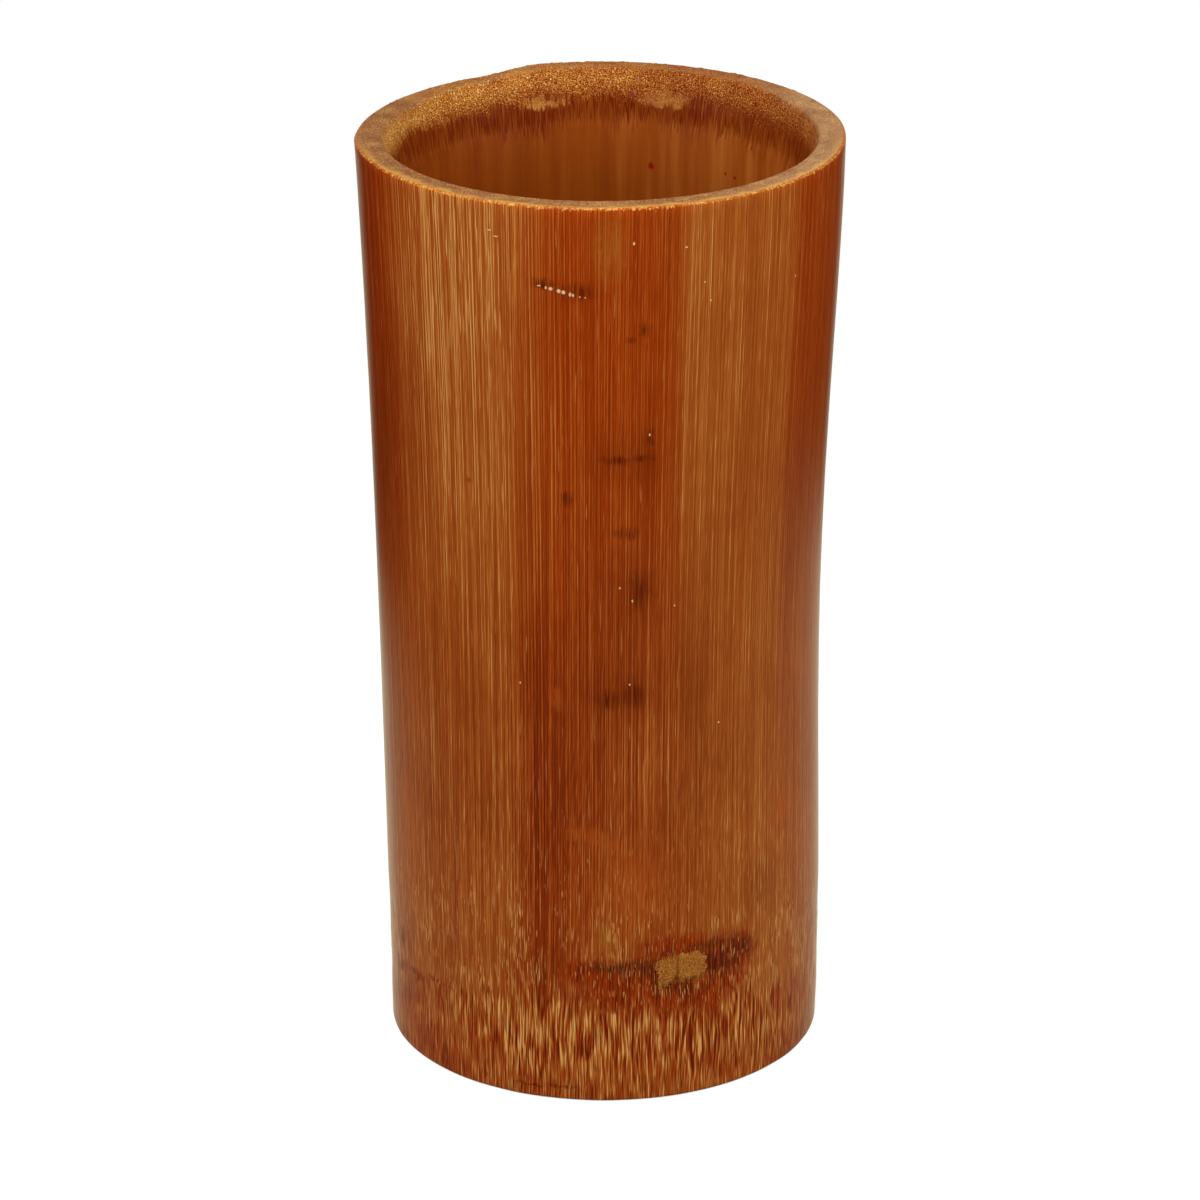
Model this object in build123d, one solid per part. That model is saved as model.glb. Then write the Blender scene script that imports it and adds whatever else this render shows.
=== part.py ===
from build123d import *

import os
from math import cos, radians, sin

# Bamboo cup: a length of thick-walled culm, closed below by the floor of its own node.
# Frame: +Z up, origin on the table under the middle of the rim, front of the cup towards -Y.
# All sizes are in millimetres, and the angle in degrees.

# Outside of the culm, from the table to the rim
HEIGHT = 200.0
FOOT_RADIUS = 46.15
NODE_RADIUS = 46.6
WAIST_RADIUS = 46.7
SHOULDER_RADIUS = 48.65
RIM_RADIUS = 50.8
NODE_HEIGHT = 25.0
WAIST_HEIGHT = 68.0
SHOULDER_DROP = 50.0      # shoulder below the rim
FOOT_LEAN = 0.85          # the stub below the node stands off towards +X
WAIST_LEAN = 0.15         # what is left of that at the waist
RIM_ROUND = 0.7           # worn outer edge of the rim
FOOT_ROUND = 0.5          # worn outer edge of the foot

# Inside of the culm
WALL = 8.8
LIP_WIDTH = 6.2           # flat top of the rim
MOUTH_DROP = 13.5         # height of the pared slope between the lip and the cavity wall

# Floor: the plate that closes the culm at its node, rooted in a ring of the wall
FLOOR_RISE = 5.0          # upper face at its edge, above the middle of the node
FLOOR_THICKNESS = 6.0     # at its edge
FLOOR_DISH = 2.0          # sag of the upper face in the middle
FLOOR_HOLLOW = 0.8        # rise of the underside in the middle
RING_REACH = 4.5          # how far the ring stands in from the cavity wall
RING_SWEEP = 11.0         # height of the curve from the cavity wall to the ring
TONGUE_THICKNESS = 3.0
TONGUE_DEPTH = 2.5        # how far the edge of the floor runs into the ring
ROOT_CLEARANCE = 0.05

# Bud scar: two dried halves of a branch bud, pared flush with the wall
BUD_AZIMUTH = 19.5        # round from the front, towards +X
BUD_RISE = 4.8            # above the middle of the node
BUD_DEPTH = 2.6
BUD_CRACK = 0.4           # gap between the halves
BUD_LEFT_WIDTH = 5.0
BUD_LEFT_HEIGHT = 7.0
BUD_LEFT_DROP = 0.6       # the left half sits lower than the right one
BUD_RIGHT_WIDTH = 6.6
BUD_RIGHT_HEIGHT = 7.2
BUD_CORNER = 1.4
BUD_CLEARANCE = 0.05

# Heights and radii that follow from the sizes above
SHOULDER_HEIGHT = HEIGHT - SHOULDER_DROP
THROAT_HEIGHT = HEIGHT - MOUTH_DROP
MOUTH_RADIUS = RIM_RADIUS - LIP_WIDTH
THROAT_TAPER = (RIM_RADIUS - SHOULDER_RADIUS) * MOUTH_DROP / SHOULDER_DROP
THROAT_RADIUS = RIM_RADIUS - THROAT_TAPER - WALL
CAVITY_RADIUS = NODE_RADIUS - WALL
RING_RADIUS = CAVITY_RADIUS - RING_REACH
TONGUE_RADIUS = RING_RADIUS + TONGUE_DEPTH
FLOOR_HEIGHT = NODE_HEIGHT + FLOOR_RISE
FLOOR_BOTTOM = FLOOR_HEIGHT - FLOOR_THICKNESS
TONGUE_BOTTOM = FLOOR_BOTTOM + (FLOOR_THICKNESS - TONGUE_THICKNESS) / 2
TONGUE_TOP = TONGUE_BOTTOM + TONGUE_THICKNESS
BUD_HEIGHT = NODE_HEIGHT + BUD_RISE


def culm_blank():
    """The solid culm, outside only: round sections that widen to the rim and step aside at the node."""
    sections = [
        (0, FOOT_RADIUS, FOOT_LEAN),
        (NODE_HEIGHT, NODE_RADIUS, FOOT_LEAN),
        (WAIST_HEIGHT, WAIST_RADIUS, WAIST_LEAN),
        (SHOULDER_HEIGHT, SHOULDER_RADIUS, 0),
        (HEIGHT, RIM_RADIUS, 0),
    ]
    return loft([Pos(lean, 0, height) * Circle(radius) for height, radius, lean in sections])


def bore():
    """All that is hollow in the wall, turned about Z: mouth, cavity, root of the floor, foot."""
    sweep_top = FLOOR_HEIGHT + RING_SWEEP
    sweep_bottom = FLOOR_BOTTOM - RING_SWEEP
    with BuildSketch(Plane.XZ) as half:
        with BuildLine():
            Line((0, 0), (CAVITY_RADIUS, 0))
            Line((CAVITY_RADIUS, 0), (CAVITY_RADIUS, sweep_bottom))
            EllipticalCenterArc((RING_RADIUS, sweep_bottom), RING_REACH, RING_SWEEP, 0, arc_size=90)
            Polyline(
                (RING_RADIUS, FLOOR_BOTTOM),
                (RING_RADIUS, TONGUE_BOTTOM),
                (TONGUE_RADIUS, TONGUE_BOTTOM),
                (TONGUE_RADIUS, TONGUE_TOP),
                (RING_RADIUS, TONGUE_TOP),
                (RING_RADIUS, FLOOR_HEIGHT),
            )
            EllipticalCenterArc((RING_RADIUS, sweep_top), RING_REACH, RING_SWEEP, 270, arc_size=90)
            Spline(
                (CAVITY_RADIUS, sweep_top),
                (WAIST_RADIUS - WALL, WAIST_HEIGHT),
                (SHOULDER_RADIUS - WALL, SHOULDER_HEIGHT),
                (THROAT_RADIUS, THROAT_HEIGHT),
                tangents=((0, 1), (0, 1)),
            )
            EllipticalCenterArc(
                (MOUTH_RADIUS, THROAT_HEIGHT), MOUTH_RADIUS - THROAT_RADIUS, MOUTH_DROP, 90, arc_size=90
            )
            Line((MOUTH_RADIUS, HEIGHT), (0, HEIGHT))
            Line((0, HEIGHT), (0, 0))
        make_face()
    return revolve(half.sketch, Axis.Z)


def node_floor():
    """The floor, dished above and a little hollow below, with a tongue round its edge."""
    plate_radius = RING_RADIUS - ROOT_CLEARANCE
    tongue_radius = TONGUE_RADIUS - ROOT_CLEARANCE
    with BuildSketch(Plane.XZ) as half:
        with BuildLine():
            Spline(
                (0, FLOOR_BOTTOM + FLOOR_HOLLOW),
                (plate_radius, FLOOR_BOTTOM),
                tangents=((1, 0), (1, 0)),
            )
            Polyline(
                (plate_radius, FLOOR_BOTTOM),
                (plate_radius, TONGUE_BOTTOM),
                (tongue_radius, TONGUE_BOTTOM),
                (tongue_radius, TONGUE_TOP),
                (plate_radius, TONGUE_TOP),
                (plate_radius, FLOOR_HEIGHT),
            )
            Spline(
                (plate_radius, FLOOR_HEIGHT),
                (0, FLOOR_HEIGHT - FLOOR_DISH),
                tangents=((-1, 0), (-1, 0)),
            )
            Line((0, FLOOR_HEIGHT - FLOOR_DISH), (0, FLOOR_BOTTOM + FLOOR_HOLLOW))
        make_face()
    return revolve(half.sketch, Axis.Z)


def bud_seat():
    """Plane at the bottom of the bud's pocket, facing straight out of the culm."""
    turn = radians(BUD_AZIMUTH)
    outward = Vector(sin(turn), -cos(turn), 0)
    sideways = Vector(cos(turn), sin(turn), 0)
    middle = Vector(FOOT_LEAN, 0, BUD_HEIGHT) + outward * (NODE_RADIUS - BUD_DEPTH)
    return Plane(middle, x_dir=sideways, z_dir=outward)


def bud_block(width, height, drop, side, margin):
    """A block through the skin of the wall on one side of the crack, grown by margin all round."""
    across = side * (BUD_CRACK + width) / 2
    outline = RectangleRounded(width + 2 * margin, height + 2 * margin, BUD_CORNER)
    return extrude(bud_seat() * Pos(across, -drop, -margin) * outline, amount=2 * BUD_DEPTH)


def bud_halves(margin):
    """The blocks of the two halves of the bud scar, left and right."""
    left = bud_block(BUD_LEFT_WIDTH, BUD_LEFT_HEIGHT, BUD_LEFT_DROP, -1, margin)
    right = bud_block(BUD_RIGHT_WIDTH, BUD_RIGHT_HEIGHT, 0, 1, margin)
    return left, right


def culm_wall(blank):
    """The tube of the culm, with the root of the floor, the bud's pockets and worn outer edges."""
    wall = blank - bore()
    rim_edge = wall.edges().group_by(Axis.Z)[-1].sort_by(SortBy.LENGTH)[-1]
    wall = fillet(rim_edge, RIM_ROUND)
    foot_edge = wall.edges().group_by(Axis.Z)[0].sort_by(SortBy.LENGTH)[-1]
    wall = fillet(foot_edge, FOOT_ROUND)
    for pocket in bud_halves(BUD_CLEARANCE):
        wall -= pocket
    return wall


def main():
    blank = culm_blank()
    bud_left, bud_right = bud_halves(0)
    pieces = {
        "culm_wall": culm_wall(blank),
        "node_floor": node_floor(),
        "bud_scar_left": blank & bud_left,
        "bud_scar_right": blank & bud_right,
    }
    os.makedirs("parts", exist_ok=True)
    for name, piece in pieces.items():
        export_step(piece, f"parts/{name}.step")


main()
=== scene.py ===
import math

import bmesh
import bpy
from bpy.props import FloatProperty, FloatVectorProperty, IntProperty, PointerProperty
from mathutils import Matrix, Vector, noise
from mathutils.bvhtree import BVHTree


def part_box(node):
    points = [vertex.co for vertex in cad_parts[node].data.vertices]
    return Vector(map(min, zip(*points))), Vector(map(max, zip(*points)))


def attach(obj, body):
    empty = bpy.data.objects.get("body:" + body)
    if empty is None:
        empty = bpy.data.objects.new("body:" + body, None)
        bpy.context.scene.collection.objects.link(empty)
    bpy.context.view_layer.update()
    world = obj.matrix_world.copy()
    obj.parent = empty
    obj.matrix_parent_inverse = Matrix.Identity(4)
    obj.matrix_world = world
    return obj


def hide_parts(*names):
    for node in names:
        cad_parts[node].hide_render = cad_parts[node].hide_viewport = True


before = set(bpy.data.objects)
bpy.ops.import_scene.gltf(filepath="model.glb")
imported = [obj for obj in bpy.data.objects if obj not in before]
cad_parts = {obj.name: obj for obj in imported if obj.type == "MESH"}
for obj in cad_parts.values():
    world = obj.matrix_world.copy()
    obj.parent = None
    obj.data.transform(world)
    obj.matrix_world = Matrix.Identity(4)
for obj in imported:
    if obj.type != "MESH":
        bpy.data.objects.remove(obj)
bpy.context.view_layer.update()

bl_info = {
    "name": "Bamboo cup",
    "version": (1, 0, 0),
    "blender": (4, 5, 0),
    "location": "View3D > Sidebar > Bamboo cup",
    "description": "Builds the stained and lacquered pieces of a cup cut from a bamboo culm",
    "category": "Add Mesh",
}

# Places taken from the frame, in metres
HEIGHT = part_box("culm_wall")[1].z
FLOOR_LOW, FLOOR_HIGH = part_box("node_floor")
BUD_BOXES = {side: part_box("bud_scar_" + side) for side in ("left", "right")}

# Values that shapes and materials share
MM = 1000.0               # millimetres in a metre
SKIN_RADIUS = 47.0        # mm, radius at which the fibre patterns of the skin are drawn
DEGREE_MM = math.radians(1.0) * SKIN_RADIUS
STRAND_STEP = -1.37       # share of its length by which a strand ends above the one beside it
RUN = "run"               # attribute: metres along the profile from the outer edge of the lip
WELD = 1e-6               # metres within which the turned points are one


# Node trees

class Term:
    """An output socket of a node tree. Arithmetic on terms adds Math nodes to that tree."""

    def __init__(self, graph, socket):
        self.graph = graph
        self.socket = socket

    def __add__(self, other):
        return self.graph.math("ADD", self, other)

    def __radd__(self, other):
        return self.graph.math("ADD", other, self)

    def __sub__(self, other):
        return self.graph.math("SUBTRACT", self, other)

    def __rsub__(self, other):
        return self.graph.math("SUBTRACT", other, self)

    def __mul__(self, other):
        return self.graph.math("MULTIPLY", self, other)

    def __rmul__(self, other):
        return self.graph.math("MULTIPLY", other, self)

    def __truediv__(self, other):
        return self.graph.math("DIVIDE", self, other)

    def __neg__(self):
        return self.graph.math("MULTIPLY", self, -1.0)


class Graph:
    """Adds nodes to one tree of a material, a world or a geometry modifier."""

    def __init__(self, tree):
        self.tree = tree

    def feed(self, socket, value):
        """Link a term to a socket, or set the socket's own value."""
        if isinstance(value, Term):
            self.tree.links.new(value.socket, socket)
        elif socket.type == "RGBA" and len(value) == 3:
            socket.default_value = (*value, 1.0)
        else:
            socket.default_value = value

    def node(self, kind, settings=None, sockets=None):
        """Add a node: its settings first, a ramp's stops among them, then its socket values and links."""
        node = self.tree.nodes.new(kind)
        for name, value in (settings or {}).items():
            if name == "stops":
                self.set_stops(node.color_ramp, value)
            else:
                setattr(node, name, value)
        for key, value in (sockets or {}).items():
            self.feed(node.inputs[key], value)
        return node

    def make(self, kind, settings=None, sockets=None, output=0):
        """Add a node and return one of its outputs as a term."""
        return Term(self, self.node(kind, settings, sockets).outputs[output])

    @staticmethod
    def set_stops(ramp, stops):
        """Give a colour ramp these (position, colour) stops."""
        while len(ramp.elements) < len(stops):
            ramp.elements.new(1.0)
        for element, (position, colour) in zip(ramp.elements, stops):
            element.position = position
            element.color = (*colour, 1.0)

    def math(self, operation, *values):
        return self.make("ShaderNodeMath", {"operation": operation}, dict(enumerate(values)))

    def vector_math(self, operation, first, second):
        return self.make("ShaderNodeVectorMath", {"operation": operation}, {0: first, 1: second})

    def length(self, vector):
        return self.make("ShaderNodeVectorMath", {"operation": "LENGTH"}, {0: vector}, "Value")

    def vector(self, x, y, z):
        return self.make("ShaderNodeCombineXYZ", None, {0: x, 1: y, 2: z})

    def split(self, vector):
        node = self.node("ShaderNodeSeparateXYZ", None, {0: vector})
        return [Term(self, output) for output in node.outputs]

    def scaled(self, vector, x, y, z):
        return self.vector_math("MULTIPLY", vector, (x, y, z))

    def smooth(self, value, low, high):
        """0 where the value is at low, 1 at high, eased between; low may be the larger one."""
        sockets = {"Value": value, "From Min": low, "From Max": high}
        return self.make("ShaderNodeMapRange", {"interpolation_type": "SMOOTHSTEP"}, sockets)

    def band(self, value, low, high, soft):
        """1 between low and high, fading to 0 over soft outside them."""
        return self.smooth(value, low - soft, low) * self.smooth(value, high + soft, high)

    def most(self, first, second):
        return self.math("MAXIMUM", first, second)

    def mix(self, share, first, second):
        """Mix two colours, by the Mix node's sockets for colours."""
        return self.make("ShaderNodeMix", {"data_type": "RGBA"}, {0: share, 6: first, 7: second}, 2)

    def noise(self, vector, detail=2.0, roughness=0.5, output=0, flat=False):
        settings = {"noise_dimensions": "2D" if flat else "3D"}
        sockets = {"Vector": vector, "Scale": 1.0, "Detail": detail, "Roughness": roughness}
        return self.make("ShaderNodeTexNoise", settings, sockets, output)

    def cells(self, vector):
        """Voronoi cells: distance from the cell's middle, and a random number for the cell."""
        sockets = {"Vector": vector, "Scale": 1.0, "Randomness": 1.0}
        node = self.node("ShaderNodeTexVoronoi", {"voronoi_dimensions": "3D"}, sockets)
        return Term(self, node.outputs["Distance"]), self.split(Term(self, node.outputs["Color"]))[0]

    def ramp(self, share, stops):
        return self.make("ShaderNodeValToRGB", {"stops": stops}, {0: share})

    def bump(self, height, strength, distance):
        sockets = {"Height": height, "Strength": strength, "Distance": distance}
        return self.make("ShaderNodeBump", None, sockets)

    def rays(self, *kinds):
        """1 for rays of each of these kinds, such as Camera or Glossy, else 0."""
        path = self.node("ShaderNodeLightPath")
        return [Term(self, path.outputs[f"Is {kind} Ray"]) for kind in kinds]


# Sizes and colours a user would change

class CulmSizes(bpy.types.PropertyGroup):
    """Sizes of the wall that the finish follows."""

    wall: FloatProperty(
        name="Wall", description="Thickness of the culm wall", default=0.0088, unit="LENGTH")
    lip_width: FloatProperty(
        name="Lip width", description="Flat sawn top of the rim", default=0.0062, unit="LENGTH")
    mouth_drop: FloatProperty(
        name="Mouth drop", description="Height of the pared slope inside the lip",
        default=0.0135, unit="LENGTH")
    mouth_ease: FloatProperty(
        name="Mouth ease", description="How far the slope is rounded into the lip",
        default=0.0015, unit="LENGTH")
    rim_round: FloatProperty(
        name="Rim round", description="Worn outer edge of the rim", default=0.0007, unit="LENGTH")
    foot_round: FloatProperty(
        name="Foot round", description="Worn outer edge of the foot", default=0.0005, unit="LENGTH")
    ring_reach: FloatProperty(
        name="Ring reach", description="How far the floor's ring stands in", default=0.0045, unit="LENGTH")
    ring_sweep: FloatProperty(
        name="Ring sweep", description="Height of the curve from wall to ring", default=0.011, unit="LENGTH")
    columns: IntProperty(
        name="Columns", description="Faces round the culm", default=576, min=32)
    seed: IntProperty(
        name="Seed", description="Start of the random relief", default=7)


class FloorSizes(bpy.types.PropertyGroup):
    """Sizes of the node floor."""

    dish: FloatProperty(
        name="Dish", description="Sag of the upper face", default=0.002, unit="LENGTH")
    hollow: FloatProperty(
        name="Hollow", description="Rise of the underside", default=0.0008, unit="LENGTH")
    columns: IntProperty(
        name="Columns", description="Faces round the floor", default=256, min=32)
    seed: IntProperty(
        name="Seed", description="Start of the random wrinkles", default=3)


class Colours(bpy.types.PropertyGroup):
    """Main tones of the stained bamboo."""

    dark: FloatVectorProperty(
        name="Dark stain", description="Deepest lines between fibres",
        subtype="COLOR", default=(0.11, 0.010, 0.0006))
    red: FloatVectorProperty(
        name="Red stain", description="Red of the thickest stain",
        subtype="COLOR", default=(0.292, 0.034, 0.0022))
    orange: FloatVectorProperty(
        name="Orange stain", description="Lighter fibre under red stain",
        subtype="COLOR", default=(0.37, 0.072, 0.0075))
    brown: FloatVectorProperty(
        name="Brown stain", description="Brown of thinner stain",
        subtype="COLOR", default=(0.300, 0.067, 0.0080))
    tan: FloatVectorProperty(
        name="Tan", description="Fibre that took little stain",
        subtype="COLOR", default=(0.40, 0.122, 0.020))
    cream: FloatVectorProperty(
        name="Cream", description="Bare fibre",
        subtype="COLOR", default=(0.63, 0.320, 0.088))
    char: FloatVectorProperty(
        name="Char", description="Darkest marks round the bud",
        subtype="COLOR", default=(0.055, 0.010, 0.0030))
    nick: FloatVectorProperty(
        name="Nick", description="Raw fibre in dots and nicks",
        subtype="COLOR", default=(0.76, 0.54, 0.29))
    gold: FloatVectorProperty(
        name="Gold", description="Worn edges and cut fibre ends",
        subtype="COLOR", default=(0.56, 0.32, 0.065))
    lip: FloatVectorProperty(
        name="Lip", description="Sawn end grain",
        subtype="COLOR", default=(0.205, 0.086, 0.030))
    mouth: FloatVectorProperty(
        name="Mouth", description="Pared slope inside the lip, and golden patches of the skin",
        subtype="COLOR", default=(0.34, 0.113, 0.013))
    speck: FloatVectorProperty(
        name="Speck", description="Red specks inside",
        subtype="COLOR", default=(0.20, 0.006, 0.002))
    cavity: FloatVectorProperty(
        name="Cavity", description="Lacquered natural inside",
        subtype="COLOR", default=(0.215, 0.043, 0.0030))
    bud: FloatVectorProperty(
        name="Bud", description="Dry tissue of the bud scar",
        subtype="COLOR", default=(0.34, 0.133, 0.014))


class StageSettings(bpy.types.PropertyGroup):
    """Camera and light."""

    lens: FloatProperty(
        name="Lens", description="Focal length of the camera", default=177.2, unit="CAMERA")
    distance: FloatProperty(
        name="Distance", description="From the camera to the middle of the cup",
        default=1.2539, unit="LENGTH")
    elevation: FloatProperty(
        name="Elevation", description="Height of the camera over the middle",
        default=math.radians(21.84), unit="ROTATION")
    dip: FloatProperty(
        name="Dip", description="How far below the middle the camera aims",
        default=math.radians(0.18), unit="ROTATION")
    table_reach: FloatProperty(
        name="Table reach", description="How far the pale table runs", default=0.34, unit="LENGTH")
    key_power: FloatProperty(
        name="Key light", description="Power of the soft light over the camera", default=3.3, unit="POWER")
    side_power: FloatProperty(
        name="Side lights", description="Power of each soft light at the sides", default=2.4, unit="POWER")
    room: FloatProperty(
        name="Room light", description="Strength of the light from the room", default=0.62)


# Shapes

def added(name, data):
    """A new object with this data, in the scene."""
    piece = bpy.data.objects.new(name, data)
    bpy.context.collection.objects.link(piece)
    return piece


class Profile:
    """The outline that a turned piece follows: rows of radius, lean and height, with the run at each row."""

    def __init__(self):
        self.rows = []

    def point(self, radius, height, lean=0.0):
        self.rows.append((radius, lean, height))

    def line(self, start, end, count):
        """Rows from start towards end, the last one left for the next stretch."""
        for step in range(count):
            share = step / count
            self.point(start[0] + (end[0] - start[0]) * share, start[1] + (end[1] - start[1]) * share)

    def arc(self, centre, across, up, start, sweep, count, lean=0.0):
        """Rows along an ellipse from the start angle, in degrees, the last one left for the next stretch."""
        for step in range(count):
            angle = math.radians(start + sweep * step / count)
            self.point(centre[0] + across * math.cos(angle), centre[1] + up * math.sin(angle), lean)

    def runs(self, first):
        """Distance along the rows, 0 at the row with index first."""
        total = [0.0]
        for before, after in zip(self.rows, self.rows[1:]):
            total.append(total[-1] + math.hypot(after[0] - before[0], after[2] - before[2]))
        return [value - total[first] for value in total]


def outside(tree, height):
    """Radius and lean of the CAD wall at a height, from rays along X."""
    reach = 1.0
    right = tree.ray_cast(Vector((reach, 0.0, height)), Vector((-1.0, 0.0, 0.0)))[0].x
    left = tree.ray_cast(Vector((-reach, 0.0, height)), Vector((1.0, 0.0, 0.0)))[0].x
    return (right - left) / 2, (right + left) / 2


def cad_tree(name):
    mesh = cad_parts[name].data
    return BVHTree.FromPolygons([v.co for v in mesh.vertices], [p.vertices for p in mesh.polygons])


def spaced(start, end, pace):
    """Values from start up to, and without, end, about pace apart."""
    count = max(1, round((end - start) / pace))
    return [start + (end - start) * step / count for step in range(count)]


# Rows of the wall, closer where its relief is finer: the height where each stretch of the outside ends and
# the pace of its rows, and the paces under the rim and down the cavity, in metres
OUTSIDE_STRETCHES = ((0.040, 0.0008), (0.066, 0.0018), (0.186, 0.0065))
RIM_PACE = 0.0018
CAVITY_PACE = 0.011


def wall_profile(sizes):
    """Rows of the wall, from the ring under the floor round the foot, up the outside and down the inside."""
    tree = cad_tree("culm_wall")
    floor_bottom = FLOOR_LOW.z
    floor_top = FLOOR_HIGH.z
    node_radius = outside(tree, (floor_bottom + floor_top) / 2)[0]
    cavity = node_radius - sizes.wall
    ring = cavity - sizes.ring_reach
    rim_radius = outside(tree, HEIGHT - sizes.rim_round)[0]
    throat_height = HEIGHT - sizes.mouth_drop
    throat = outside(tree, throat_height)[0] - sizes.wall
    mouth = rim_radius - sizes.lip_width + sizes.mouth_ease
    foot_radius, foot_lean = outside(tree, sizes.foot_round)

    profile = Profile()
    sweep_low = floor_bottom - sizes.ring_sweep
    profile.arc((ring, sweep_low), sizes.ring_reach, sizes.ring_sweep, 90, -90, 7)
    profile.line((cavity, sweep_low), (cavity, 0.0), 6)
    profile.line((cavity, 0.0), (foot_radius - sizes.foot_round, 0.0), 8)
    foot = len(profile.rows)
    profile.arc((foot_radius - sizes.foot_round, sizes.foot_round), sizes.foot_round, sizes.foot_round,
                -90, 90, 3, foot_lean)
    start = sizes.foot_round
    for end, pace in (*OUTSIDE_STRETCHES, (HEIGHT - sizes.rim_round, RIM_PACE)):
        for height in spaced(start, end, pace):
            radius, lean = outside(tree, height)
            profile.point(radius, height, lean)
        start = end
    profile.arc((rim_radius - sizes.rim_round, HEIGHT - sizes.rim_round), sizes.rim_round, sizes.rim_round,
                0, 90, 4)
    edge = len(profile.rows)
    profile.line((rim_radius - sizes.rim_round, HEIGHT), (mouth, HEIGHT), 9)
    profile.arc((mouth, throat_height), mouth - throat, sizes.mouth_drop, 90, 90, 20)
    for height in reversed(spaced(floor_top + sizes.ring_sweep, throat_height, CAVITY_PACE)):
        profile.point(outside(tree, height)[0] - sizes.wall, height)
    profile.arc((ring, floor_top + sizes.ring_sweep), sizes.ring_reach, sizes.ring_sweep, 0, -90, 8)
    profile.point(ring, floor_top)
    profile.point(ring, floor_bottom)
    return profile, foot, edge


TONGUE_DEPTH = 0.0025     # metres, how far the edge of the CAD floor runs, unseen, into the ring
FLOOR_ROWS = 48           # rows of each face of the floor


def floor_profile(sizes):
    """Rows of the floor, from the middle of its upper face over the edge to the middle below."""
    radius = FLOOR_HIGH.x - TONGUE_DEPTH
    profile = Profile()
    top, bottom = FLOOR_HIGH.z, FLOOR_LOW.z

    def ease(share):
        return share * share * (3 - 2 * share)

    shares = [step / FLOOR_ROWS for step in range(FLOOR_ROWS)]
    for share in shares:
        profile.point(radius * share, top - sizes.dish * (1 - ease(share)))
    profile.line((radius, top), (radius, bottom), 4)
    for share in reversed(shares):
        profile.point(radius * share, bottom + sizes.hollow * (1 - ease(share)))
    return profile, 0, 0


def profile_object(name, profile, edge):
    """A line mesh whose points are the rows, with the run as an attribute, for the turning tree to read."""
    mesh = bpy.data.meshes.new(name)
    mesh.from_pydata(profile.rows, [(i, i + 1) for i in range(len(profile.rows) - 1)], [])
    run = mesh.attributes.new(RUN, "FLOAT", "POINT")
    run.data.foreach_set("value", profile.runs(edge))
    return added(name, mesh)


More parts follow.
